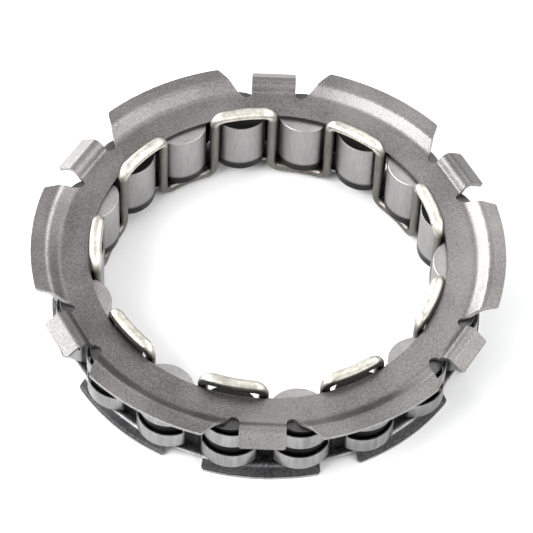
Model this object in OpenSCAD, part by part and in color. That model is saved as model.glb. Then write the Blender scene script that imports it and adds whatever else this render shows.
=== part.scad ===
// Sprag type starter clutch bearing, built as two sheet plates, a ribbon spring, a wire and loose sprags.
// Origin on the ring axis at the middle of the cage width, +Z towards the flanged plate.

/* [Cage plates] */
// Diameter across the rims of the upper lobes
outer_dia = 80; // [72:0.5:90]
// Width of the flange outside the first bend of the upper plate
flange_reach = 5.1; // [4.5:0.1:6]
// Width of the flat ring inside that bend
ring_width = 4.7; // [4:0.1:5.4]
// Distance between the outer faces of the two flat rings
cage_width = 12.4; // [10.5:0.1:15]
// Thickness of the plate metal
plate_sheet = 0.6; // [0.4:0.05:0.9]
// Height of the lobes over the flat ring
lobe_rise = 1.65; // [1.4:0.05:2]
// Width of a snap tab
tab_width = 7.7; // [6:0.1:9]
// Height of the tab hump over the flat ring
tab_rise = 1.35; // [1.1:0.05:1.6]
// How far a tab tip stays inside the lobe rims
tab_setback = 0.1; // [0:0.05:0.6]
// Width of the relief notch beside a tab
notch_width = 1.9; // [1.2:0.1:2.4]
// How far the lower lobes stay inside the ribbon
lower_setback = 0.5; // [0.2:0.1:1]
// How far a lower lobe stands out from the edge beside it
lower_lobe_reach = 1.5; // [1.3:0.1:1.8]
// Angle one lower lobe takes up
lower_lobe_angle = 31.5; // [28:0.5:33]
// Angle from one lower lobe to the next
lower_lobe_pitch = 42; // [40:0.5:44]

/* [Sprags] */
// How far the resting sprags stand inside the plate edge
sprag_stand = 2.4; // [1.8:0.1:2.8]
// Radial height of a resting sprag
sprag_height = 8.8; // [8.4:0.1:9.2]
// Radius of the inner cam
inner_cam = 5.2; // [4.9:0.1:5.4]
// Radius of the outer cam
outer_cam = 4.8; // [4.5:0.1:5]
// Sideways offset between the two cams
cam_offset = 0.5; // [0.2:0.1:0.8]
// Chamfer round each end of a sprag
sprag_edge = 0.15; // [0.1:0.05:0.4]
// Gap between a sprag end and a plate
sprag_end_gap = 0.2; // [0.1:0.05:0.4]

/* [Ribbon spring] */
// Thickness of the ribbon
ribbon_sheet = 0.3; // [0.2:0.05:0.4]
// Gap between the ribbon and the outer cams
ribbon_gap = 0.3; // [0.25:0.05:0.4]
// Gap between a ribbon edge and a plate
ribbon_end_gap = 1.15; // [0.6:0.05:1.4]
// Height of one of the two ribbon rails
rail_height = 3.15; // [2.4:0.05:3.3]
// Radius of the fold between two sprags
fold_radius = 1.5; // [1.2:0.1:1.8]

/* [Retainer wire] */
// Wire diameter
wire_dia = 1.7; // [1.4:0.05:1.9]
// Centre line radius of a wire corner
wire_bend = 1.7; // [1.4:0.1:2.2]
// Width of a top bar, which is pressed oval
bar_width = 2.3; // [1.8:0.1:2.6]
// Height of a top bar
bar_height = 1.6; // [1.2:0.1:1.9]
// Gap between a wire leg and the plate edges
wire_gap = 0.1; // [0.05:0.05:0.3]
// Height of the middle of a top bar over the flat ring
wire_rise = 1.65; // [1.2:0.05:2]
// Gap between a bottom bar and the sprag over it
wire_end_gap = 0.1; // [0.05:0.05:0.3]

/* [Hidden] */
$fn = 72;
sprag_count = 18;
lobe_count = 6;
side_lobes = 3;
sprag_pitch = 360 / sprag_count;
outer_r = outer_dia / 2;
upper_bend_r = outer_r - flange_reach;
bore_r = upper_bend_r - ring_width;
sprag_bore_r = bore_r - sprag_stand;
half_width = cage_width / 2;
arc_steps = 7;
root_fold = 1;
crown_fold = 1.6;
lower_fold = 0.8;
fold_angle = 34;
lower_fold_angle = 55;
lower_bend_back = 0.5;
tab_fold = 0.9;
tab_crown = 1.4;
tab_up_angle = 50;
tab_down_angle = 35;
tab_root_back = 0.9;
tab_root = upper_bend_r - tab_root_back;
tab_tip_r = outer_r - tab_setback;
tab_corner = 0.4;
notch_r = notch_width / 2;
notch_x = tab_width / 2 + notch_r;
notch_bite = 0.5;
notch_back = 0.3;
notch_y = sqrt(pow(upper_bend_r - notch_bite, 2) - notch_x * notch_x) + notch_r;
notch_floor = upper_bend_r - notch_back;
lobe_corner = 0.6;
lobe_side_angle = 45;
pivot_r = sprag_bore_r + inner_cam;
outer_cam_r = sprag_bore_r + sprag_height - outer_cam;
sprag_length = cage_width - 2 * plate_sheet - 2 * sprag_end_gap;
ribbon_height = cage_width - 2 * plate_sheet - 2 * ribbon_end_gap;
window_height = ribbon_height - 2 * rail_height;
ear_height = cage_width - 2 * plate_sheet - 2 * sprag_end_gap;
ear_width = 1.4;
bulge_r = outer_cam + ribbon_gap + ribbon_sheet / 2;
bulge_pitch_r = norm([outer_cam_r, cam_offset]);
bulge_turn = atan(cam_offset / outer_cam_r);
fold_span = bulge_r + fold_radius;
half_chord = bulge_pitch_r * sin(sprag_pitch / 2);
fold_pitch_r = bulge_pitch_r * cos(sprag_pitch / 2) + sqrt(fold_span * fold_span - half_chord * half_chord);
fold_half = atan2(half_chord, fold_pitch_r - bulge_pitch_r * cos(sprag_pitch / 2));
bulge_steps = 12;
fold_steps = 8;
bulge_half = fold_half + sprag_pitch / 2;
window_inset = 8;
window_half = bulge_half - window_inset;
lower_r = bulge_pitch_r + bulge_r + ribbon_sheet / 2 - lower_setback;
lower_land_r = lower_r - lower_lobe_reach;
lower_bend_r = lower_land_r - lower_bend_back;
lower_gap_half = (lower_lobe_pitch - lower_lobe_angle) / 2;
back_gap_half = (180 - lower_lobe_angle - side_lobes * lower_lobe_pitch) / 2;
back_gap_turn = 180 - lower_lobe_angle / 2 - back_gap_half;
wire_r = wire_dia / 2;
leg_r = bore_r - wire_gap - wire_r;
bar_r = sqrt(leg_r * leg_r - wire_bend * wire_bend);
top_bar_z = half_width + wire_rise;
low_bar_z = -(sprag_length / 2 + wire_end_gap + wire_r);
wire_mid = (top_bar_z + low_bar_z) / 2;
bar_z = (top_bar_z - low_bar_z) / 2;
bar_half = sprag_pitch / 2 - atan(wire_bend / bar_r);
bar_steps = 24;
wire_lap = 0.1;
elbow_swell = 0.015;
bar_sweep = bar_half + wire_lap / bar_r * 180 / PI;
leg_length = 2 * (bar_z - wire_bend + wire_lap);

// A bent strip is a list of [radius, height, slope] along the middle of the metal.
function bend_up(x, z, r, to) =
  [for (i = [0 : arc_steps]) let (a = to * i / arc_steps) [x + r * sin(a), z + r * (1 - cos(a)), a]];
function bend_over(x, z, r, from, to) =
  [for (i = [0 : arc_steps]) let (a = from + (to - from) * i / arc_steps)
    [x + r * (sin(from) - sin(a)), z + r * (cos(a) - cos(from)), a]];
function side_of(path, off) = [for (p = path) [p[0] - off * sin(p[2]), p[1] + off * cos(p[2])]];
function reversed(list) = [for (i = [len(list) - 1 : -1 : 0]) list[i]];
function strip(path, sheet) = concat(side_of(path, -sheet / 2), reversed(side_of(path, sheet / 2)));

// From the flat ring through an S bend to a flat rim.
function lobe_path(from_r, bend_r, rim_r, fold, crown, steep, rise) =
  let (foot = bend_up(bend_r, 0, fold, steep),
       foot_end = foot[arc_steps],
       ramp = rise - (fold + crown) * (1 - cos(steep)),
       head = bend_over(foot_end[0] + ramp / tan(steep), foot_end[1] + ramp, crown, steep, 0))
  concat([[from_r, 0, 0]], foot, head, [[rim_r, rise, 0]]);

// From the flat ring over a hump and down to the tip.
function tab_path() =
  let (foot = bend_up(upper_bend_r, 0, tab_fold, tab_up_angle),
       foot_end = foot[arc_steps],
       ramp = tab_rise - (tab_fold + tab_crown) * (1 - cos(tab_up_angle)),
       head = bend_over(foot_end[0] + ramp / tan(tab_up_angle), foot_end[1] + ramp,
         tab_crown, tab_up_angle, -tab_down_angle),
       head_end = head[arc_steps],
       fall = tab_tip_r - head_end[0])
  concat([[tab_root, 0, 0]], foot, head,
    [[tab_tip_r, head_end[1] - fall * tan(tab_down_angle), -tab_down_angle]]);

// Corner arc between a lobe side, starting at p in direction a, and the rim circle.
function corner_arc(p, a, rim, r) =
  let (d = [cos(a), sin(a)],
       n = [sin(a), -cos(a)],
       q = p + r * n,
       along = q * d,
       s = sqrt(along * along - q * q + (rim - r) * (rim - r)) - along,
       c = q + s * d,
       from = a + 90,
       to = atan2(c[1], c[0]))
  [for (i = [0 : arc_steps]) let (t = from + (to - from) * i / arc_steps) c + r * [cos(t), sin(t)]];
function mirrored(list) = [for (p = reversed(list)) [-p[0], p[1]]];
function wedge(r, half) = concat([[0, 0]], [for (i = [-2 : 2]) r * [cos(i * half / 2), sin(i * half / 2)]]);

// Ribbon outline in plan, shifted outwards by off: an arc round every sprag, then a fold.
function wave(off) = [for (n = [0 : sprag_count - 1]) each concat(
  [for (i = [0 : bulge_steps]) let (t = n * sprag_pitch, a = t + bulge_half * (2 * i / bulge_steps - 1))
    bulge_pitch_r * [cos(t), sin(t)] + (bulge_r + off) * [cos(a), sin(a)]],
  [for (i = [1 : fold_steps - 1]) let (t = (n + 0.5) * sprag_pitch,
      a = t + 180 + fold_half * (1 - 2 * i / fold_steps))
    fold_pitch_r * [cos(t), sin(t)] + (fold_radius - off) * [cos(a), sin(a)]])];

module ring_of(count) {
  for (i = [0 : count - 1]) {
    rotate([0, 0, i * 360 / count]) children();
  }
}

// Plan of the opening a tab stands in, tab pointing along +Y.
module tab_opening() {
  foot = [notch_x, notch_y] + notch_r * [sin(lobe_side_angle), -cos(lobe_side_angle)];
  corner = corner_arc(foot, 90 - lobe_side_angle, outer_r, lobe_corner);
  far = corner[arc_steps] * 1.2;
  edge = concat([[notch_x, notch_floor], foot], corner, [far]);
  linear_extrude(height = 4 * cage_width, center = true) polygon(concat(edge, mirrored(edge)));
  for (s = [-1, 1]) {
    translate([s * notch_x, notch_y, 0]) cylinder(h = 4 * cage_width, r = notch_r, center = true);
  }
}

module snap_tab() {
  lane = tab_width / 2;
  tip = [for (i = [0 : arc_steps]) let (a = 90 * i / arc_steps)
    [lane - tab_corner + tab_corner * cos(a), tab_tip_r - tab_corner + tab_corner * sin(a)]];
  edge = concat([[lane, tab_root]], tip);
  intersection() {
    rotate([90, 0, 90]) linear_extrude(height = tab_width, center = true)
      polygon(strip(tab_path(), plate_sheet));
    linear_extrude(height = 4 * cage_width, center = true) polygon(concat(edge, mirrored(edge)));
  }
}

// Plan of the gap between two lower lobes, gap pointing along +Y.
module lower_gap(half) {
  foot = lower_land_r / 2 * [sin(half), cos(half)];
  corner = corner_arc(foot, 90 - half, lower_r, lobe_corner);
  edge = concat([foot], corner, [corner[arc_steps] * 1.2]);
  difference() {
    linear_extrude(height = 4 * cage_width, center = true) polygon(concat(edge, mirrored(edge)));
    cylinder(h = 5 * cage_width, r = lower_land_r, center = true);
  }
}

module upper_cage_plate() {
  path = lobe_path(bore_r, upper_bend_r, outer_r, root_fold, crown_fold, fold_angle, lobe_rise);
  color([0.62, 0.61, 0.59]) translate([0, 0, half_width - plate_sheet / 2]) union() {
    difference() {
      rotate_extrude() polygon(strip(path, plate_sheet));
      ring_of(lobe_count) tab_opening();
    }
    ring_of(lobe_count) snap_tab();
  }
}

module lower_cage_plate() {
  path = lobe_path(bore_r, lower_bend_r, lower_r, lower_fold, lower_fold, lower_fold_angle, lobe_rise);
  color([0.42, 0.42, 0.42]) difference() {
    translate([0, 0, plate_sheet / 2 - half_width]) mirror([0, 0, 1])
      rotate_extrude() polygon(strip(path, plate_sheet));
    for (s = [-1, 1]) {
      for (k = [1 : side_lobes]) {
        rotate([0, 0, 180 + s * (k - 0.5) * lower_lobe_pitch]) lower_gap(lower_gap_half);
      }
      rotate([0, 0, 180 + s * back_gap_turn]) lower_gap(back_gap_half);
    }
  }
}

module ribbon_band(height) {
  linear_extrude(height = height, center = true) difference() {
    polygon(wave(ribbon_sheet / 2));
    polygon(wave(-ribbon_sheet / 2));
  }
}

module ribbon_spring() {
  color([0.78, 0.78, 0.77]) rotate([0, 0, bulge_turn]) union() {
    difference() {
      ribbon_band(ribbon_height);
      ring_of(sprag_count) translate([bulge_pitch_r, 0, 0])
        linear_extrude(height = window_height, center = true) polygon(wedge(2 * bulge_r, window_half));
    }
    intersection() {
      ribbon_band(ear_height);
      rotate([0, 0, sprag_pitch / 2]) ring_of(sprag_count)
        translate([fold_pitch_r - fold_radius, 0, 0])
          cube([fold_radius, ear_width, 2 * ear_height], center = true);
    }
  }
}

module wire_elbow() {
  rotate([0, 0, bar_half]) translate([bar_r, 0, bar_z - wire_bend]) rotate([90, 0, 90])
    rotate_extrude(angle = 90) translate([wire_bend, 0]) circle(r = wire_r + elbow_swell);
}

module pressed_section() {
  polygon([for (i = [0 : bar_steps - 1]) let (a = 360 * i / bar_steps)
    [bar_width / 2 * cos(a), bar_height / 2 * sin(a)]]);
}

module wire_crown() {
  rotate([0, 0, -bar_sweep]) rotate_extrude(angle = 2 * bar_sweep) translate([bar_r, bar_z]) children();
  wire_elbow();
  mirror([0, 1, 0]) wire_elbow();
}

module retainer_wire() {
  color([0.86, 0.82, 0.7]) translate([0, 0, wire_mid]) union() {
    rotate([0, 0, sprag_pitch]) ring_of(sprag_count / 2) wire_crown() pressed_section();
    ring_of(sprag_count / 2) mirror([0, 0, 1]) wire_crown() circle(r = wire_r);
    rotate([0, 0, sprag_pitch / 2]) ring_of(sprag_count)
      translate([leg_r, 0, 0]) cylinder(h = leg_length, r = wire_r, center = true);
  }
}

module cam(r) {
  end = sprag_length / 2;
  rotate_extrude() polygon([
    [0, -end], [r - sprag_edge, -end], [r, sprag_edge - end],
    [r, end - sprag_edge], [r - sprag_edge, end], [0, end]
  ]);
}

module sprag(place) {
  color([0.72, 0.73, 0.74]) rotate([0, 0, place * sprag_pitch]) intersection() {
    translate([pivot_r, 0, 0]) cam(inner_cam);
    translate([outer_cam_r, cam_offset, 0]) cam(outer_cam);
  }
}

module sprag_01() { sprag(0); }
module sprag_02() { sprag(1); }
module sprag_03() { sprag(2); }
module sprag_04() { sprag(3); }
module sprag_05() { sprag(4); }
module sprag_06() { sprag(5); }
module sprag_07() { sprag(6); }
module sprag_08() { sprag(7); }
module sprag_09() { sprag(8); }
module sprag_10() { sprag(9); }
module sprag_11() { sprag(10); }
module sprag_12() { sprag(11); }
module sprag_13() { sprag(12); }
module sprag_14() { sprag(13); }
module sprag_15() { sprag(14); }
module sprag_16() { sprag(15); }
module sprag_17() { sprag(16); }
module sprag_18() { sprag(17); }

upper_cage_plate();
lower_cage_plate();
ribbon_spring();
retainer_wire();
sprag_01();
sprag_02();
sprag_03();
sprag_04();
sprag_05();
sprag_06();
sprag_07();
sprag_08();
sprag_09();
sprag_10();
sprag_11();
sprag_12();
sprag_13();
sprag_14();
sprag_15();
sprag_16();
sprag_17();
sprag_18();
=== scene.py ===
import math

import bmesh
import bpy
from mathutils import Matrix, Vector


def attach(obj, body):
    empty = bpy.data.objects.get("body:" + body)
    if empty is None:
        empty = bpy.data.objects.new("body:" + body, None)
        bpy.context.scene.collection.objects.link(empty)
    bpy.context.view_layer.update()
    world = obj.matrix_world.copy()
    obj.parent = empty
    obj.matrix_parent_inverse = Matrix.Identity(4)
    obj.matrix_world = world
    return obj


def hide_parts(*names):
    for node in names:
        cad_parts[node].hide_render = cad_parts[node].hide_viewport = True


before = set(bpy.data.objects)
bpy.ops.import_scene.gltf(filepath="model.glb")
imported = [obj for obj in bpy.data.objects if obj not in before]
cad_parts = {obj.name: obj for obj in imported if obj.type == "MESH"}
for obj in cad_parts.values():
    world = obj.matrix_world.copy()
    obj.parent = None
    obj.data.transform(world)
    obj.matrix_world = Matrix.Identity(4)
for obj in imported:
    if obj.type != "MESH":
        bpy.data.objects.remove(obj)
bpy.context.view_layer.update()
scene = bpy.context.scene
scene.view_settings.view_transform = "Standard"
mm = 0.001

cage = {
    "bore": 30.2,  # inner edge of both plates
    "halfWidth": 6.2,  # mid plane to the outer face of a flat ring
    "sheet": 0.6,
    "rise": 1.65,  # lobes over the flat ring
    "lobes": 6,
    "sprags": 18,
}


# small helpers for points and meshes

def polar(radius, degrees):
    angle = math.radians(degrees)
    return Vector((radius * math.cos(angle), radius * math.sin(angle)))


def blendValue(a, b, share):
    return a + (b - a) * share


def steps(count):
    return [i / count for i in range(count + 1)]


def markPoints(mesh, values):
    # how much painted light each point takes: painted highlight on fold crests and top bars, painted
    # shade on the ends of covered sprags
    paintedLit = mesh.attributes.new("paintedLight", "FLOAT", "POINT")
    paintedLit.data.foreach_set("value", values)


class GridMesh:
    # collects quads between columns of points, sharing points that coincide

    def __init__(self):
        self.points = []
        self.faces = []
        self.lookup = {}

    def point(self, p):
        key = tuple(round(c, 5) for c in p)
        if key not in self.lookup:
            self.lookup[key] = len(self.points)
            self.points.append(p)
        return self.lookup[key]

    def patch(self, columns, skip=None):
        for c in range(len(columns) - 1):
            for r in range(len(columns[c]) - 1):
                if skip and skip(c, r):
                    continue
                corners = [columns[c][r], columns[c + 1][r], columns[c + 1][r + 1], columns[c][r + 1]]
                face = []
                for p in corners:
                    i = self.point(p)
                    if i not in face:
                        face.append(i)
                if len(face) > 2:
                    self.faces.append(face)

    def build(self, name, materials, paintedLight):
        mesh = bpy.data.meshes.new(name)
        mesh.from_pydata([[c * mm for c in p] for p in self.points], [], self.faces)
        markPoints(mesh, [paintedLight(p) for p in self.points])
        for material in materials:
            mesh.materials.append(material)
        mesh.update()
        piece = bpy.data.objects.new(name, mesh)
        scene.collection.objects.link(piece)
        return piece


# geometry node trees

def newTree(name, inputs):
    tree = bpy.data.node_groups.new(name, "GeometryNodeTree")
    tree.interface.new_socket("Geometry", in_out="INPUT", socket_type="NodeSocketGeometry")
    for label, kind in inputs:
        tree.interface.new_socket(label, in_out="INPUT", socket_type="NodeSocket" + kind)
    tree.interface.new_socket("Geometry", in_out="OUTPUT", socket_type="NodeSocketGeometry")
    return tree


def addNode(tree, kind, **values):
    node = tree.nodes.new(kind)
    for key, value in values.items():
        setattr(node, key, value)
    return node


def ringNodes(tree, source):
    # copies of the geometry turned round Z, joined into one mesh
    link = tree.links.new
    line = addNode(tree, "GeometryNodeMeshLine", mode="OFFSET")
    line.inputs["Offset"].default_value = (0, 0, 0)
    link(source.outputs["Count"], line.inputs["Count"])
    stepAngle = addNode(tree, "ShaderNodeMath", operation="DIVIDE")
    stepAngle.inputs[0].default_value = math.tau
    link(source.outputs["Count"], stepAngle.inputs[1])
    index = addNode(tree, "GeometryNodeInputIndex")
    turn = addNode(tree, "ShaderNodeMath", operation="MULTIPLY")
    link(index.outputs[0], turn.inputs[0])
    link(stepAngle.outputs[0], turn.inputs[1])
    aboutZ = addNode(tree, "ShaderNodeCombineXYZ")
    link(turn.outputs[0], aboutZ.inputs["Z"])
    place = addNode(tree, "GeometryNodeInstanceOnPoints")
    link(line.outputs["Mesh"], place.inputs["Points"])
    link(source.outputs["Geometry"], place.inputs["Instance"])
    link(aboutZ.outputs[0], place.inputs["Rotation"])
    real = addNode(tree, "GeometryNodeRealizeInstances")
    link(place.outputs[0], real.inputs[0])
    weld = addNode(tree, "GeometryNodeMergeByDistance")
    weld.inputs["Distance"].default_value = 2e-6
    link(real.outputs[0], weld.inputs["Geometry"])
    return weld


def closeTree(tree, source, last):
    finish = addNode(tree, "GeometryNodeSetMaterial")
    tree.links.new(last.outputs[0], finish.inputs["Geometry"])
    tree.links.new(source.outputs["Material"], finish.inputs["Material"])
    out = addNode(tree, "NodeGroupOutput")
    tree.links.new(finish.outputs[0], out.inputs[0])


def sheetRingTree():
    tree = newTree("sheetRing", [("Count", "Int"), ("Material", "Material")])
    source = addNode(tree, "NodeGroupInput")
    closeTree(tree, source, ringNodes(tree, source))
    return tree


def spragTurnTree():
    tree = newTree("spragTurn", [("Turn", "Float"), ("Material", "Material")])
    source = addNode(tree, "NodeGroupInput")
    link = tree.links.new
    aboutZ = addNode(tree, "ShaderNodeCombineXYZ")
    link(source.outputs["Turn"], aboutZ.inputs["Z"])
    move = addNode(tree, "GeometryNodeTransform")
    link(source.outputs["Geometry"], move.inputs["Geometry"])
    link(aboutZ.outputs[0], move.inputs["Rotation"])
    real = addNode(tree, "GeometryNodeRealizeInstances")
    link(move.outputs[0], real.inputs[0])
    closeTree(tree, source, real)
    return tree


def addTree(piece, tree, **values):
    modifier = piece.modifiers.new(tree.name, "NODES")
    modifier.node_group = tree
    for item in tree.interface.items_tree:
        if item.item_type == "SOCKET" and item.in_out == "INPUT" and item.name in values:
            modifier[item.identifier] = values[item.name]


def bakePiece(source, name, body, nodes, sharpAngle=38, extraMaterials=()):
    # plain mesh from the finished modifiers, riding on its body in place of the CAD nodes
    evaluated = source.evaluated_get(bpy.context.evaluated_depsgraph_get())
    mesh = bpy.data.meshes.new_from_object(evaluated)
    mesh.name = name
    for material in extraMaterials:
        mesh.materials.append(material)
    mesh.shade_smooth()
    mesh.set_sharp_from_angle(angle=math.radians(sharpAngle))
    piece = bpy.data.objects.new(name, mesh)
    scene.collection.objects.link(piece)
    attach(piece, body)
    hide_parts(*nodes)
    return piece


def dropSource(piece):
    mesh = piece.data
    bpy.data.objects.remove(piece)
    bpy.data.meshes.remove(mesh)


def thicken(piece, sheet, edge):
    wall = piece.modifiers.new("sheet", "SOLIDIFY")
    wall.thickness = sheet * mm
    wall.offset = 0
    wall.use_even_offset = True
    wall.material_offset_rim = 1
    soft = piece.modifiers.new("edges", "BEVEL")
    soft.width = edge * mm
    soft.segments = 2
    soft.limit_method = "ANGLE"
    soft.angle_limit = math.radians(50)
    soft.use_clamp_overlap = True


# shader groups

def shaderGroup(name, inputs, outputs):
    group = bpy.data.node_groups.new(name, "ShaderNodeTree")
    for label, kind, value in inputs:
        socket = group.interface.new_socket(label, in_out="INPUT", socket_type="NodeSocket" + kind)
        if value is not None:
            socket.default_value = value
    for label, kind in outputs:
        group.interface.new_socket(label, in_out="OUTPUT", socket_type="NodeSocket" + kind)
    return group, addNode(group, "NodeGroupInput"), addNode(group, "NodeGroupOutput")


def mathNode(tree, operation, a, b):
    node = addNode(tree, "ShaderNodeMath", operation=operation)
    for i, value in enumerate((a, b)):
        if isinstance(value, (int, float)):
            node.inputs[i].default_value = value
        else:
            tree.links.new(value, node.inputs[i])
    return node.outputs[0]


def noiseNode(tree, vector, scale, detail, rough):
    node = addNode(tree, "ShaderNodeTexNoise", noise_dimensions="3D")
    tree.links.new(vector, node.inputs["Vector"])
    node.inputs["Detail"].default_value = detail
    node.inputs["Roughness"].default_value = rough
    if isinstance(scale, (int, float)):
        node.inputs["Scale"].default_value = scale
    else:
        tree.links.new(scale, node.inputs["Scale"])
    return node.outputs["Fac"]


def speckleGroup():
    # mottled skin of tumbled sheet: soft clouds, fine grains and a few pits
    group, source, out = shaderGroup(
        "speckle",
        [("Vector", "Vector", None), ("Grain Scale", "Float", 2600.0), ("Cloud Scale", "Float", 90.0)],
        [("Tone", "Float"), ("Height", "Float")],
    )
    vector = source.outputs["Vector"]
    grain = noiseNode(group, vector, source.outputs["Grain Scale"], 3, 0.6)
    cloud = noiseNode(group, vector, source.outputs["Cloud Scale"], 2, 0.5)
    pit = addNode(group, "ShaderNodeTexVoronoi")
    group.links.new(vector, pit.inputs["Vector"])
    group.links.new(mathNode(group, "MULTIPLY", source.outputs["Grain Scale"], 0.45), pit.inputs["Scale"])
    pitMask = addNode(group, "ShaderNodeMapRange")
    pitMask.inputs["From Min"].default_value = 0.02
    pitMask.inputs["From Max"].default_value = 0.28
    group.links.new(pit.outputs["Distance"], pitMask.inputs["Value"])
    mixed = mathNode(group, "MULTIPLY", grain, 0.62)
    tone = mathNode(group, "ADD", mixed, mathNode(group, "MULTIPLY", cloud, 0.38))
    group.links.new(tone, out.inputs["Tone"])
    height = mathNode(group, "MULTIPLY", grain, mathNode(group, "ADD", pitMask.outputs[0], 0.4))
    group.links.new(height, out.inputs["Height"])
    return group


def drawnLinesGroup():
    # fine lines left by rolling, drawing or grinding, along the axis with the low scale
    group, source, out = shaderGroup(
        "drawnLines",
        [("Vector", "Vector", None), ("Line Scale", "Vector", (3000.0, 3000.0, 60.0))],
        [("Tone", "Float"), ("Height", "Float")],
    )
    stretch = addNode(group, "ShaderNodeVectorMath", operation="MULTIPLY")
    group.links.new(source.outputs["Vector"], stretch.inputs[0])
    group.links.new(source.outputs["Line Scale"], stretch.inputs[1])
    fine = noiseNode(group, stretch.outputs[0], 1.0, 4, 0.65)
    broad = noiseNode(group, stretch.outputs[0], 0.22, 2, 0.5)
    fineShare = mathNode(group, "MULTIPLY", fine, 0.6)
    broadShare = mathNode(group, "MULTIPLY", broad, 0.4)
    tone = mathNode(group, "ADD", fineShare, broadShare)
    group.links.new(tone, out.inputs["Tone"])
    group.links.new(fine, out.inputs["Height"])
    return group


def placeGroup(tree, group, vector, **values):
    node = addNode(tree, "ShaderNodeGroup", node_tree=group)
    tree.links.new(vector, node.inputs["Vector"])
    for key, value in values.items():
        node.inputs[key.replace("_", " ")].default_value = value
    return node


def rangeNode(tree, value, low, high, toLow, toHigh):
    node = addNode(tree, "ShaderNodeMapRange")
    tree.links.new(value, node.inputs["Value"])
    for label, number in (("From Min", low), ("From Max", high), ("To Min", toLow), ("To Max", toHigh)):
        node.inputs[label].default_value = number
    return node.outputs[0]


def toneRamp(tree, value, stops):
    ramp = addNode(tree, "ShaderNodeValToRGB")
    tree.links.new(value, ramp.inputs[0])
    ramp.color_ramp.elements[0].position = stops[0][0]
    ramp.color_ramp.elements[0].color = (*stops[0][1], 1)
    ramp.color_ramp.elements[1].position = stops[-1][0]
    ramp.color_ramp.elements[1].color = (*stops[-1][1], 1)
    for place, colour in stops[1:-1]:
        ramp.color_ramp.elements.new(place).color = (*colour, 1)
    return ramp.outputs[0]


def startMaterial(name, metallic):
    material = bpy.data.materials.new(name)
    material.use_nodes = True
    tree = material.node_tree
    shader = tree.nodes["Principled BSDF"]
    shader.inputs["Metallic"].default_value = metallic
    where = addNode(tree, "ShaderNodeTexCoord")
    return material, tree, shader, where.outputs["Object"]


def scaleColour(tree, colour, factor):
    node = addNode(tree, "ShaderNodeVectorMath", operation="SCALE")
    tree.links.new(colour, node.inputs[0])
    tree.links.new(factor, node.inputs["Scale"])
    return node.outputs[0]


def flatNode(tree, vector, operation):
    # the vector without its height, then its length or its direction
    flat = addNode(tree, "ShaderNodeVectorMath", operation="MULTIPLY")
    tree.links.new(vector, flat.inputs[0])
    flat.inputs[1].default_value = (1, 1, 0)
    node = addNode(tree, "ShaderNodeVectorMath", operation=operation)
    tree.links.new(flat.outputs[0], node.inputs[0])
    return node


def ringRadius(tree, vector):
    # distance from the ring's axis
    return flatNode(tree, vector, "LENGTH").outputs["Value"]


def addBump(tree, shader, height, strength, distance):
    bump = addNode(tree, "ShaderNodeBump")
    bump.inputs["Strength"].default_value = strength
    bump.inputs["Distance"].default_value = distance * mm
    tree.links.new(height, bump.inputs["Height"])
    tree.links.new(bump.outputs[0], shader.inputs["Normal"])


finishes = {
    "upperSkin": {
        "dark": (0.118, 0.113, 0.11),
        "light": (0.222, 0.213, 0.208),
        "rough": (0.36, 0.48),
        "crestHighlight": 1.6,  # painted highlight: how much brighter the crest of a fold is painted
        "grain": 3600.0,
    },
    # partly painted shade: the lower plate is coloured far darker than the upper one, and its crest
    # highlight is painted stronger
    "lowerSkin": {
        "dark": (0.03, 0.03, 0.031),
        "light": (0.075, 0.075, 0.077),
        "rough": (0.42, 0.58),
        "crestHighlight": 3.5,
        "grain": 2200.0,
    },
    "cutEdge": {"dark": (0.19, 0.187, 0.184), "light": (0.36, 0.356, 0.35), "rough": (0.28, 0.42)},
    "darkEdge": {"dark": (0.20, 0.20, 0.20), "light": (0.40, 0.40, 0.40), "rough": (0.3, 0.44)},
    "spring": {"dark": (0.175, 0.175, 0.175), "light": (0.33, 0.33, 0.328), "rough": (0.28, 0.42)},
    "wire": {"dark": (0.11, 0.105, 0.094), "light": (0.205, 0.196, 0.176), "rough": (0.32, 0.44)},
    "sprag": {"dark": (0.272, 0.265, 0.263), "light": (0.368, 0.358, 0.356), "rough": (0.36, 0.48)},
}
speckle = speckleGroup()
drawnLines = drawnLinesGroup()


def paintedLightShare(tree):
    # share of painted highlight or painted shade stored on the mesh
    return addNode(tree, "ShaderNodeAttribute", attribute_name="paintedLight").outputs["Fac"]


def sheetMaterial(name, look):
    material, tree, shader, vector = startMaterial(name, 1.0)
    skin = placeGroup(tree, speckle, vector, Grain_Scale=look["grain"], Cloud_Scale=95.0)
    colour = toneRamp(tree, skin.outputs["Tone"], [(0.4, look["dark"]), (0.6, look["light"])])
    paintedLit = paintedLightShare(tree)
    # painted highlight along the fold crests; the lower roughness there is a smoother finish
    brighter = rangeNode(tree, paintedLit, 0.0, 1.0, 1.0, look["crestHighlight"])
    tree.links.new(scaleColour(tree, colour, brighter), shader.inputs["Base Color"])
    rough = rangeNode(tree, skin.outputs["Tone"], 0.3, 0.7, *look["rough"])
    smooth = mathNode(tree, "MULTIPLY", rough, rangeNode(tree, paintedLit, 0.0, 1.0, 1.0, 0.65))
    tree.links.new(smooth, shader.inputs["Roughness"])
    addBump(tree, shader, skin.outputs["Height"], 0.35, 0.03)
    return material


def lineMaterial(name, look, lineScale, bumpStrength, shadeOf=None):
    material, tree, shader, vector = startMaterial(name, 1.0)
    lines = placeGroup(tree, drawnLines, vector, Line_Scale=lineScale)
    colour = toneRamp(tree, lines.outputs["Tone"], [(0.34, look["dark"]), (0.66, look["light"])])
    if shadeOf:
        colour = scaleColour(tree, colour, shadeOf(tree, vector))
    tree.links.new(colour, shader.inputs["Base Color"])
    rough = rangeNode(tree, lines.outputs["Tone"], 0.3, 0.7, *look["rough"])
    tree.links.new(rough, shader.inputs["Roughness"])
    addBump(tree, shader, lines.outputs["Height"], bumpStrength, 0.01)
    return material


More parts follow.
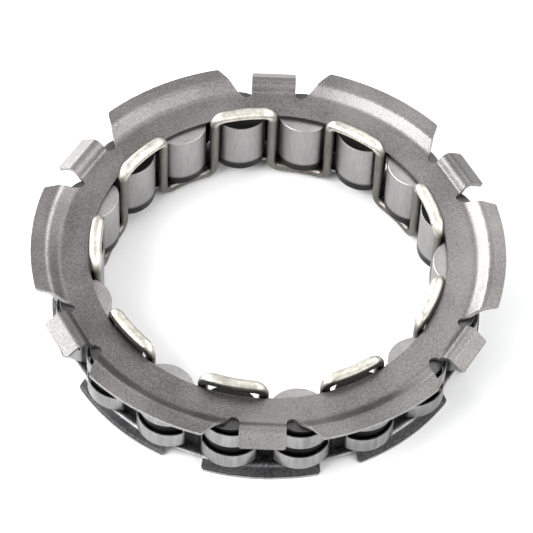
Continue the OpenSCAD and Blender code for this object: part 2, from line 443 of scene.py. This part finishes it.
shades = {
    "fold": (34.75, 35.15),  # radii between which the painted shade in the ribbon's folds fades out
    "bore": (30.6, 31.6),
    "barBright": 3.6,
    "barSide": (0.2, 0.75),  # how far a bar's face may look outward before painted shade darkens it
    "spragEnd": (31.2, 32.4),
    "spragFlank": (30.6, 32.6),
    "spragBand": (-3.95, -3.4),  # heights between which the painted dark band at the bottom ends
}


def lengthRange(tree, value, limits, toLow, toHigh):
    return rangeNode(tree, value, limits[0] * mm, limits[1] * mm, toLow, toHigh)


def foldShade(tree, vector):
    # painted shade darkens the deep folds of the ribbon
    return lengthRange(tree, ringRadius(tree, vector), shades["fold"], 0.02, 1.0)


def boreShade(tree, vector):
    # painted shade on the wall of the bore, which stays darker than the rims
    return lengthRange(tree, ringRadius(tree, vector), shades["bore"], 0.2, 1.0)


def barShade(tree, vector):
    # painted highlight on the top bars, and painted shade on their side towards the plate
    outward = flatNode(tree, vector, "NORMALIZE")
    facing = addNode(tree, "ShaderNodeVectorMath", operation="DOT_PRODUCT")
    tree.links.new(outward.outputs[0], facing.inputs[0])
    tree.links.new(addNode(tree, "ShaderNodeTexCoord").outputs["Normal"], facing.inputs[1])
    bright = rangeNode(tree, paintedLightShare(tree), 0.0, 1.0, 1.0, shades["barBright"])
    side = rangeNode(tree, facing.outputs["Value"], *shades["barSide"], 1.0, 0.1)
    return mathNode(tree, "MULTIPLY", bright, side)


def spragShade(tree, vector):
    # painted shade: only the ground inner face and the open ends keep their colour; the outer flank, the
    # ends under the top bars and plates, and a band near the bottom are darkened
    facing = addNode(tree, "ShaderNodeSeparateXYZ")
    tree.links.new(addNode(tree, "ShaderNodeTexCoord").outputs["Normal"], facing.inputs[0])
    endFace = rangeNode(tree, mathNode(tree, "ABSOLUTE", facing.outputs["Z"], 0.0), 0.5, 0.9, 0.0, 1.0)
    radius = ringRadius(tree, vector)
    # painted shade on the ends of sprags under the top bars, and on the ends' outer part under the plates
    openEnd = rangeNode(tree, paintedLightShare(tree), 0.0, 1.0, 0.07, 1.2)
    inside = lengthRange(tree, radius, shades["spragEnd"], 1.0, 0.0)
    outside = lengthRange(tree, radius, shades["spragEnd"], 0.0, 0.3)
    end = mathNode(tree, "ADD", mathNode(tree, "MULTIPLY", openEnd, inside), outside)
    # painted shade on the outer flank
    flank = lengthRange(tree, radius, shades["spragFlank"], 1.0, 0.02)
    flank = mathNode(tree, "MULTIPLY", flank, rangeNode(tree, endFace, 0.0, 1.0, 1.0, 0.0))
    shade = mathNode(tree, "ADD", flank, mathNode(tree, "MULTIPLY", endFace, end))
    # painted shade near the bottom, standing in for the reflection of the shaded floor
    spot = addNode(tree, "ShaderNodeSeparateXYZ")
    tree.links.new(vector, spot.inputs[0])
    band = lengthRange(tree, spot.outputs["Z"], shades["spragBand"], 0.07, 1.0)
    return mathNode(tree, "MINIMUM", shade, band)


upperSkin = sheetMaterial("upperSkin", finishes["upperSkin"])
lowerSkin = sheetMaterial("lowerSkin", finishes["lowerSkin"])
cutEdge = lineMaterial("cutEdge", finishes["cutEdge"], (1800.0, 1800.0, 500.0), 0.3, boreShade)
darkEdge = lineMaterial("darkEdge", finishes["darkEdge"], (1800.0, 1800.0, 500.0), 0.3)
springSkin = lineMaterial("springSkin", finishes["spring"], (1500.0, 1500.0, 160.0), 0.1, foldShade)
wireSkin = lineMaterial("wireSkin", finishes["wire"], (1500.0, 1500.0, 260.0), 0.15, barShade)
spragSkin = lineMaterial("spragSkin", finishes["sprag"], (2600.0, 2600.0, 420.0), 0.08, spragShade)
print("materials ready")


# outlines shared by the plates

def lobeHeight(radius, plate):
    # flat ring, fold up, ramp, fold over, flat rim
    steep = math.radians(plate["steep"])
    run = radius - plate["rampFoot"]
    if run <= 0:
        return 0.0
    foot = plate["footFold"]
    crown = plate["crownFold"]
    footRun = foot * math.sin(steep)
    footRise = foot * (1 - math.cos(steep))
    ramp = cage["rise"] - (foot + crown) * (1 - math.cos(steep))
    rampRun = ramp / math.tan(steep)
    if run < footRun:
        return foot - math.sqrt(foot * foot - run * run)
    if run < footRun + rampRun:
        return footRise + (run - footRun) * math.tan(steep)
    left = footRun + rampRun + crown * math.sin(steep) - run
    if left > 0:
        return cage["rise"] - crown + math.sqrt(crown * crown - left * left)
    return cage["rise"]


def tabHeight(y, plate):
    # fold up, ramp, hump, then straight down to the tip
    up = math.radians(plate["tabUp"])
    down = math.radians(plate["tabDown"])
    run = y - plate["bend"]
    if run <= 0:
        return 0.0
    foot = plate["tabFold"]
    crown = plate["tabCrown"]
    footRun = foot * math.sin(up)
    ramp = plate["tabRise"] - (foot + crown) * (1 - math.cos(up))
    rampRun = ramp / math.tan(up)
    if run < footRun:
        return foot - math.sqrt(foot * foot - run * run)
    if run < footRun + rampRun:
        return foot * (1 - math.cos(up)) + (run - footRun) * math.tan(up)
    past = run - footRun - rampRun - crown * math.sin(up)
    if past < crown * math.sin(down):
        return plate["tabRise"] - crown + math.sqrt(crown * crown - past * past)
    fall = past - crown * math.sin(down)
    return plate["tabRise"] - crown * (1 - math.cos(down)) - fall * math.tan(down)


def crestShare(height, crest):
    # 1 on the painted highlight line where a fold turns over, 0 away from it
    return math.exp(-(((height - crest + 0.16) / 0.11) ** 2))


def sideways(point):
    return Vector((-point[0], point[1], point[2]))


def mirrorColumns(columns):
    return [[sideways(p) for p in column] for column in reversed(columns)]


def cornerArc(start, along, rim, radius, count):
    # round corner between a straight lobe side and the rim circle
    aside = Vector((along.y, -along.x))
    base = start + aside * radius
    reach = base.dot(along)
    travel = math.sqrt(reach * reach - base.dot(base) + (rim - radius) ** 2) - reach
    centre = base + along * travel
    first = math.atan2(along.y, along.x) + math.pi / 2
    last = math.atan2(centre.y, centre.x)
    angles = [blendValue(first, last, s) for s in steps(count)]
    return [centre + radius * Vector((math.cos(a), math.sin(a))) for a in angles]


# upper plate with raised lobes and sprung tabs

upperPlate = {
    "bend": 34.9,
    "rim": 40.0,
    "rampFoot": 34.5,
    "footFold": 2.2,
    "crownFold": 1.8,
    "steep": 36,
    "tabHalf": 3.85,
    "tabTip": 39.9,
    "tabRise": 1.35,
    "tabFold": 0.9,
    "tabCrown": 1.4,
    "tabUp": 50,
    "tabDown": 35,
    "tabCorner": 0.4,
    "notch": 0.95,  # radius of the relief notch beside a tab
    "notchBite": 0.5,
    "lobeSide": 45,  # slant of a lobe's side against the tab
    "lobeCorner": 0.6,
    "edge": 0.15,
}


def upperSector(plate):
    # one tab and half a lobe on each side, tab along +Y
    mid = cage["halfWidth"] - cage["sheet"] / 2
    half = plate["tabHalf"]
    notchX = half + plate["notch"]
    notchY = math.sqrt((plate["bend"] - plate["notchBite"]) ** 2 - notchX ** 2) + plate["notch"]
    centre = Vector((notchX, notchY))
    slant = math.radians(90 - plate["lobeSide"])
    side = Vector((math.cos(slant), math.sin(slant)))
    foot = centre + plate["notch"] * Vector((side.y, -side.x))
    corner = cornerArc(foot, side, plate["rim"], plate["lobeCorner"], 8)
    footAngle = math.degrees(math.atan2(foot.x, foot.y))
    tabAngle = math.degrees(math.atan2(half, notchY))
    cornerAngle = math.degrees(math.atan2(corner[-1].x, corner[-1].y))
    edgeAngle = 180 / cage["lobes"]

    def inner(angle, base, lobeShare):
        # from the bore to the foot of a tab (0), of a lobe (1) or of the notch between them
        start = polar(cage["bore"], 90 - angle)
        column = []
        for s in steps(14):
            p = start.lerp(base, s)
            rise = blendValue(tabHeight(p.y, plate), lobeHeight(p.length, plate), lobeShare)
            column.append(Vector((*p, mid + rise)))
        return column

    def tabLength(x):
        # the tip's corners are rounded
        inset = abs(x) - (half - plate["tabCorner"])
        if inset <= 0:
            return plate["tabTip"]
        drop = plate["tabCorner"] - math.sqrt(max(plate["tabCorner"] ** 2 - inset ** 2, 0))
        return plate["tabTip"] - drop

    tabShares = [math.sin(s * math.pi / 2) for s in steps(14)]
    tabInner = [inner(tabAngle * s, Vector((half * s, notchY)), 0) for s in tabShares]
    tabOuter = []
    for s in tabShares:
        x = half * s
        ys = [blendValue(notchY, tabLength(x), u) for u in steps(28)]
        tabOuter.append([Vector((x, y, mid + tabHeight(y, plate))) for y in ys])
    notchInner = []
    for s in steps(12):
        turn = math.radians(180 + (90 + plate["lobeSide"]) * s)
        base = centre + plate["notch"] * Vector((math.cos(turn), math.sin(turn)))
        notchInner.append(inner(blendValue(tabAngle, footAngle, s), base, s))
    lobeInner = []
    lobeOuter = []
    rimAngles = [blendValue(cornerAngle, edgeAngle, s) for s in steps(34)[1:]]
    tops = corner + [polar(plate["rim"], 90 - angle) for angle in rimAngles]
    for i, top in enumerate(tops):
        angle = blendValue(footAngle, edgeAngle, i / (len(tops) - 1))
        base = polar(foot.length, 90 - angle)
        lobeInner.append(inner(angle, base, 1))
        spots = [base.lerp(top, u) for u in steps(30)]
        lobeOuter.append([Vector((*p, mid + lobeHeight(p.length, plate))) for p in spots])
    grid = GridMesh()
    for columns in (tabInner, tabOuter, notchInner, lobeInner, lobeOuter):
        grid.patch(columns)
        grid.patch(mirrorColumns(columns))
    return grid.build("upperSector", [upperSkin, cutEdge], lambda p: crestShare(p.z - mid, cage["rise"]))


sheetRing = sheetRingTree()


def makeUpperPlate():
    sector = upperSector(upperPlate)
    addTree(sector, sheetRing, Count=cage["lobes"], Material=upperSkin)
    thicken(sector, cage["sheet"], upperPlate["edge"])
    bakePiece(sector, "upperPlate", "cage", ["upper_cage_plate"], 38, [cutEdge])
    dropSource(sector)


makeUpperPlate()
print("upper plate ready")


# lower plate with lobes flared down

lowerPlate = {
    "rampFoot": 34.7,
    "land": 35.2,  # edge between two lobes
    "rim": 36.7,
    "footFold": 0.8,
    "crownFold": 0.8,
    "steep": 55,
    "pitch": 42,
    "sideLobes": 3,  # lobes on each side of the front one
    "lobeHalf": 15.75,
    "lobeCorner": 0.6,
    "edge": 0.1,
}


def addLowerLobe(grid, plate, facing, halfPitch):
    # one lobe and half the gap on each side, worked out along +Y and turned to face its place
    mid = cage["sheet"] / 2 - cage["halfWidth"]

    def spot(p):
        return Vector((p[0], p[1], mid - lobeHeight(math.hypot(p[0], p[1]), plate)))

    gapSide = polar(1, 90 - (halfPitch - plate["lobeHalf"]))
    gapCorner = cornerArc(gapSide * plate["land"] / 2, gapSide, plate["rim"], plate["lobeCorner"], 8)
    turn = Matrix.Rotation(math.radians(-halfPitch), 2)
    corner = [turn @ Vector((-p.x, p.y)) for p in reversed(gapCorner)]
    cornerAngle = math.degrees(math.atan2(corner[0].x, corner[0].y))
    inner = []
    outer = []
    tops = [polar(plate["rim"], 90 - cornerAngle * s) for s in steps(26)[:-1]] + corner
    for i, top in enumerate(tops):
        angle = plate["lobeHalf"] * i / (len(tops) - 1)
        base = polar(plate["land"], 90 - angle)
        start = polar(cage["bore"], 90 - angle)
        inner.append([spot(start.lerp(base, u)) for u in steps(12)])
        outer.append([spot(base.lerp(top, u)) for u in steps(16)])
    gap = []
    for s in steps(10):
        angle = blendValue(plate["lobeHalf"], halfPitch, s)
        start = polar(cage["bore"], 90 - angle)
        gap.append([spot(start.lerp(polar(plate["land"], 90 - angle), u)) for u in steps(12)])
    turned = Matrix.Rotation(math.radians(facing - 90), 3, "Z")
    for columns in (inner, outer, gap):
        for half in (columns, mirrorColumns(columns)):
            grid.patch([[turned @ p for p in column] for column in half])


def lowerSheet(plate):
    grid = GridMesh()
    for k in range(-plate["sideLobes"], plate["sideLobes"] + 1):
        addLowerLobe(grid, plate, k * plate["pitch"] - 90, plate["pitch"] / 2)
    addLowerLobe(grid, plate, 90, 180 - (plate["sideLobes"] + 0.5) * plate["pitch"])
    fold = cage["sheet"] / 2 - cage["halfWidth"]
    return grid.build("lowerSheet", [lowerSkin, darkEdge], lambda p: crestShare(fold - p.z, 0.3))


def makeLowerPlate():
    sheet = lowerSheet(lowerPlate)
    addTree(sheet, sheetRing, Count=1, Material=lowerSkin)
    thicken(sheet, cage["sheet"], lowerPlate["edge"])
    bakePiece(sheet, "lowerPlate", "cage", ["lower_cage_plate"], 38, [darkEdge])
    dropSource(sheet)


makeLowerPlate()
print("lower plate ready")


# ribbon spring: an arc round every sprag, a fold between two

ribbon = {
    "sheet": 0.3,
    "bulge": 5.25,
    "bulgeCentre": Vector((31.8, 0.5)),
    "fold": 2.0,
    "halfHeight": 4.45,
    "window": 1.3,  # half height of a window
    "windowInset": 3,  # degrees left at each end of a bulge
    "ear": 5.4,
    "earHalf": 0.7,
    "edge": 0.05,
}


def ribbonPitch(strip):
    pitch = 360 / cage["sprags"]
    centreR = strip["bulgeCentre"].length
    lead = math.degrees(math.atan2(strip["bulgeCentre"].y, strip["bulgeCentre"].x))
    chord = centreR * math.sin(math.radians(pitch / 2))
    near = centreR * math.cos(math.radians(pitch / 2))
    foldR = near + math.sqrt((strip["bulge"] + strip["fold"]) ** 2 - chord ** 2)
    foldHalf = math.degrees(math.atan2(chord, foldR - near))
    bulgeHalf = foldHalf + pitch / 2
    windowHalf = bulgeHalf - strip["windowInset"]
    path = []
    for s in steps(44):
        angle = blendValue(-bulgeHalf, bulgeHalf, s)
        spot = polar(centreR, lead) + polar(strip["bulge"], lead + angle)
        path.append((spot, abs(angle) < windowHalf, False))
    middle = lead + pitch / 2
    for s in steps(20)[1:]:
        angle = blendValue(foldHalf, -foldHalf, s)
        across = strip["fold"] * math.sin(math.radians(angle))
        spot = polar(foldR, middle) + polar(strip["fold"], middle + 180 + angle)
        path.append((spot, False, abs(across) < strip["earHalf"]))
    above = [strip["window"], strip["halfHeight"], strip["ear"]]
    levels = [-z for z in reversed(above)] + above
    columns = [[Vector((*p, z)) for z in levels] for p, _, _ in path]

    def skip(c, r):
        if r in (0, 4):
            return not (path[c][2] and path[c + 1][2])
        return r == 2 and (path[c][1] or path[c + 1][1])

    grid = GridMesh()
    grid.patch(columns, skip)
    return grid.build("ribbonPitch", [springSkin, cutEdge], lambda p: 0.0)


def makeRibbon():
    strip = ribbonPitch(ribbon)
    addTree(strip, sheetRing, Count=cage["sprags"], Material=springSkin)
    thicken(strip, ribbon["sheet"], ribbon["edge"])
    bakePiece(strip, "ribbonSpring", "cage", ["ribbon_spring"], 40, [cutEdge])
    dropSource(strip)


makeRibbon()
print("ribbon spring ready")


# retainer wire: legs between the sprags, bars over and under them in turn

wire = {
    "radius": 0.85,
    "legRadius": 29.25,
    "bend": 1.7,
    "top": 7.8,
    "low": -6.35,
    "barHalf": 1.15,  # a top bar is pressed wider than the wire
    "barRise": 0.85,
}


def wirePath(bend):
    # one bar over, one bar under and the legs between: place, direction and how far pressed
    pitch = 360 / cage["sprags"]
    corner = bend["bend"]
    barRadius = math.sqrt(bend["legRadius"] ** 2 - corner ** 2)
    barHalf = pitch / 2 - math.degrees(math.atan(corner / barRadius))
    path = []

    def elbow(angle, sign, level, upDown, pressed):
        end = polar(barRadius, angle)
        along = polar(1, angle + 90)
        for s in steps(12):
            share = s if sign < 0 else 1 - s
            a = math.radians(90 * share)
            flat = end + along * sign * corner * math.cos(a)
            spot = Vector((*flat, level - upDown * corner * (1 - math.sin(a))))
            way = Vector((*(along * math.sin(a)), -sign * upDown * math.cos(a)))
            path.append((spot, way, pressed * share * share * (3 - 2 * share)))

    def crown(centre, level, upDown, pressed):
        elbow(centre - barHalf, -1, level, upDown, pressed)
        for s in steps(16)[1:-1]:
            angle = centre + blendValue(-barHalf, barHalf, s)
            way = Vector((*polar(1, angle + 90), 0))
            path.append((Vector((*polar(barRadius, angle), level)), way, pressed))
        elbow(centre + barHalf, 1, level, upDown, pressed)

    def leg(angle, upDown):
        middle = (bend["top"] + bend["low"]) / 2
        path.append((Vector((*polar(bend["legRadius"], angle), middle)), Vector((0, 0, upDown)), 0.0))

    leg(pitch / 2, 1)
    crown(pitch, bend["top"], 1, 1.0)
    leg(pitch * 1.5, -1)
    crown(2 * pitch, bend["low"], -1, 0.0)
    leg(pitch * 2.5, 1)
    return path


def wirePeriod(bend):
    grid = GridMesh()
    rings = []
    for spot, way, pressed in wirePath(bend):
        out = Vector((spot.x, spot.y, 0)).normalized()
        out = (out - way * out.dot(way)).normalized()
        across = out.cross(way)
        wide = blendValue(bend["radius"], bend["barHalf"], pressed)
        high = blendValue(bend["radius"], bend["barRise"], pressed)
        turns = [math.tau * s for s in steps(32)]
        rings.append([spot + out * wide * math.cos(t) + across * high * math.sin(t) for t in turns])
    grid.patch(rings)
    lift = cage["halfWidth"]
    # painted highlight share, rising from the plate's face to 1 on the top bars
    return grid.build("wirePeriod", [wireSkin], lambda p: min(max((p.z - lift) / 1.2, 0.0), 1.0))


def makeWire():
    period = wirePeriod(wire)
    addTree(period, sheetRing, Count=cage["sprags"] // 2, Material=wireSkin)
    bakePiece(period, "retainerWire", "cage", ["retainer_wire"], 60)
    dropSource(period)


makeWire()
print("retainer wire ready")


# sprags: two cams that lean against each other, with bevelled ends

sprag = {
    "innerCam": 5.2,
    "innerCentre": Vector((33.0, 0.0)),
    "outerCam": 4.8,
    "outerCentre": Vector((31.8, 0.5)),
    "halfLength": 5.4,
    "bevel": [(0.16, 0.0), (0.125, 0.007), (0.1, 0.022), (0.022, 0.1), (0.007, 0.125), (0.0, 0.16)],
}


def spragOutline(shrink):
    rA = sprag["innerCam"] - shrink
    rB = sprag["outerCam"] - shrink
    between = sprag["outerCentre"] - sprag["innerCentre"]
    gap = between.length
    toB = math.atan2(between.y, between.x)
    halfA = math.acos((gap * gap + rA * rA - rB * rB) / (2 * gap * rA))
    halfB = math.acos((gap * gap + rB * rB - rA * rA) / (2 * gap * rB))
    arcA = [toB + blendValue(-halfA, halfA, s) for s in steps(64)]
    arcB = [toB + math.pi + blendValue(-halfB, halfB, s) for s in steps(40)[1:-1]]
    first = [sprag["innerCentre"] + rA * Vector((math.cos(a), math.sin(a))) for a in arcA]
    second = [sprag["outerCentre"] + rB * Vector((math.cos(a), math.sin(a))) for a in arcB]
    return first + second


def spragBlank():
    half = sprag["halfLength"]
    rings = [(shrink, depth - half) for shrink, depth in sprag["bevel"]]
    rings += [(shrink, half - depth) for shrink, depth in reversed(sprag["bevel"])]
    mesh = bpy.data.meshes.new("spragBlank")
    shape = bmesh.new()
    loops = []
    for shrink, z in rings:
        loops.append([shape.verts.new((p.x * mm, p.y * mm, z * mm)) for p in spragOutline(shrink)])
    count = len(loops[0])
    for low, high in zip(loops, loops[1:]):
        for i in range(count):
            j = (i + 1) % count
            shape.faces.new((low[i], low[j], high[j], high[i]))
    shape.faces.new(list(reversed(loops[0])))
    shape.faces.new(loops[-1])
    shape.to_mesh(mesh)
    shape.free()
    blank = bpy.data.objects.new("spragBlank", mesh)
    scene.collection.objects.link(blank)
    return blank


def makeSprags():
    tree = spragTurnTree()
    blank = spragBlank()
    for i in range(cage["sprags"]):
        node = "sprag_%02d" % (i + 1)
        copy = bpy.data.objects.new("spragSource", blank.data.copy())
        scene.collection.objects.link(copy)
        # open sprags get 1, those under the top bars 0 for painted shade on their ends
        markPoints(copy.data, [1.0 - i % 2] * len(copy.data.vertices))
        addTree(copy, tree, Turn=math.tau * i / cage["sprags"], Material=spragSkin)
        bakePiece(copy, "sprag%02d" % (i + 1), node, [node], 50)
        dropSource(copy)
    dropSource(blank)


makeSprags()
print("sprags ready")


# floor, light and camera

stage = {"floorSize": 3.0, "floorHeight": -7.86, "floorColour": (0.9, 0.9, 0.9)}


def makeFloor():
    half = stage["floorSize"] / 2
    mesh = bpy.data.meshes.new("floor")
    z = stage["floorHeight"] * mm
    corners = [(-half, -half, z), (half, -half, z), (half, half, z), (-half, half, z)]
    mesh.from_pydata(corners, [], [(0, 1, 2, 3)])
    floor = bpy.data.objects.new("floor", mesh)
    scene.collection.objects.link(floor)
    material, tree, shader, vector = startMaterial("paleFloor", 0.0)
    grain = noiseNode(tree, vector, 40.0, 2, 0.5)
    low = tuple(c * 0.985 for c in stage["floorColour"])
    colour = toneRamp(tree, grain, [(0.3, low), (0.7, stage["floorColour"])])
    tree.links.new(colour, shader.inputs["Base Color"])
    shader.inputs["Roughness"].default_value = 0.9
    shader.inputs["Specular IOR Level"].default_value = 0.1
    mesh.materials.append(material)


def makeWorld():
    world = bpy.data.worlds.new("studio")
    scene.world = world
    world.use_nodes = True
    tree = world.node_tree
    shown = tree.nodes["Background"]
    shown.inputs["Color"].default_value = (1, 1, 1, 1)
    shown.inputs["Strength"].default_value = 1.0
    fill = addNode(tree, "ShaderNodeBackground")
    fill.inputs["Color"].default_value = (0.97, 0.98, 1.0, 1)
    fill.inputs["Strength"].default_value = 0.6
    path = addNode(tree, "ShaderNodeLightPath")
    seen = mathNode(tree, "MAXIMUM", path.outputs["Is Camera Ray"], path.outputs["Is Glossy Ray"])
    seen = mathNode(tree, "MAXIMUM", seen, path.outputs["Is Transmission Ray"])
    mix = addNode(tree, "ShaderNodeMixShader")
    tree.links.new(seen, mix.inputs[0])
    tree.links.new(fill.outputs[0], mix.inputs[1])
    tree.links.new(shown.outputs[0], mix.inputs[2])
    tree.links.new(mix.outputs[0], tree.nodes["World Output"].inputs["Surface"])


lamps = {
    "left": {"around": 171, "height": 34, "away": 0.6, "wide": 0.46, "tall": 0.28, "power": 2.45},
    "leftBack": {"around": 140, "height": 16, "away": 0.6, "wide": 0.5, "tall": 0.22, "power": 3.6},
    "overRight": {"around": 50, "height": 50, "away": 0.2, "wide": 0.12, "tall": 0.08, "power": 0.08},
    "right": {"around": 8, "height": 34, "away": 0.6, "wide": 0.5, "tall": 0.18, "power": 1.1},
    "frontLeft": {"around": -148, "height": 46, "away": 0.6, "wide": 0.4, "tall": 0.3, "power": 3.5},
    "frontRight": {"around": -36, "height": 44, "away": 0.6, "wide": 0.36, "tall": 0.22, "power": 1.35},
}


def makeLamps():
    for name, lamp in lamps.items():
        light = bpy.data.lights.new(name, "AREA")
        light.shape = "RECTANGLE"
        light.size = lamp["wide"]
        light.size_y = lamp["tall"]
        light.energy = lamp["power"]
        thing = bpy.data.objects.new(name, light)
        flat = polar(lamp["away"] * math.cos(math.radians(lamp["height"])), lamp["around"])
        thing.location = (*flat, lamp["away"] * math.sin(math.radians(lamp["height"])))
        thing.rotation_euler = (-thing.location).to_track_quat("-Z", "Y").to_euler()
        scene.collection.objects.link(thing)


view = {
    "height": 52.16,  # degrees above the ring's plane
    "turn": -0.7,
    "distance": 538.6,
    "aim": Vector((-0.21, -3.14, 6.2)),
    "roll": 2.7,
    "focal": 3194.4,  # pixels, for an image of 533
    "image": 533,
}


def makeCamera():
    lens = bpy.data.cameras.new("photoCamera")
    lens.sensor_width = 36
    lens.lens = view["focal"] / view["image"] * lens.sensor_width
    lens.clip_start = 0.02
    lens.clip_end = 20
    camera = bpy.data.objects.new("photoCamera", lens)
    high = math.radians(view["height"])
    ringTop = Vector((0, 0, cage["halfWidth"]))
    eye = ringTop + view["distance"] * Vector((0, -math.cos(high), math.sin(high)))
    forward = (view["aim"] - eye).normalized()
    right = forward.cross(Vector((0, 0, 1))).normalized()
    up = right.cross(forward)
    roll = math.radians(view["roll"])
    across = math.cos(roll) * right + math.sin(roll) * up
    above = -math.sin(roll) * right + math.cos(roll) * up
    axes = Matrix((across, above, -forward)).transposed().to_4x4()
    spin = Matrix.Rotation(math.radians(view["turn"]), 4, "Z")
    camera.matrix_world = spin @ Matrix.Translation(eye * mm) @ axes
    scene.collection.objects.link(camera)
    scene.camera = camera


makeFloor()
makeWorld()
makeLamps()
makeCamera()
print("stage ready")

bpy.context.view_layer.update()
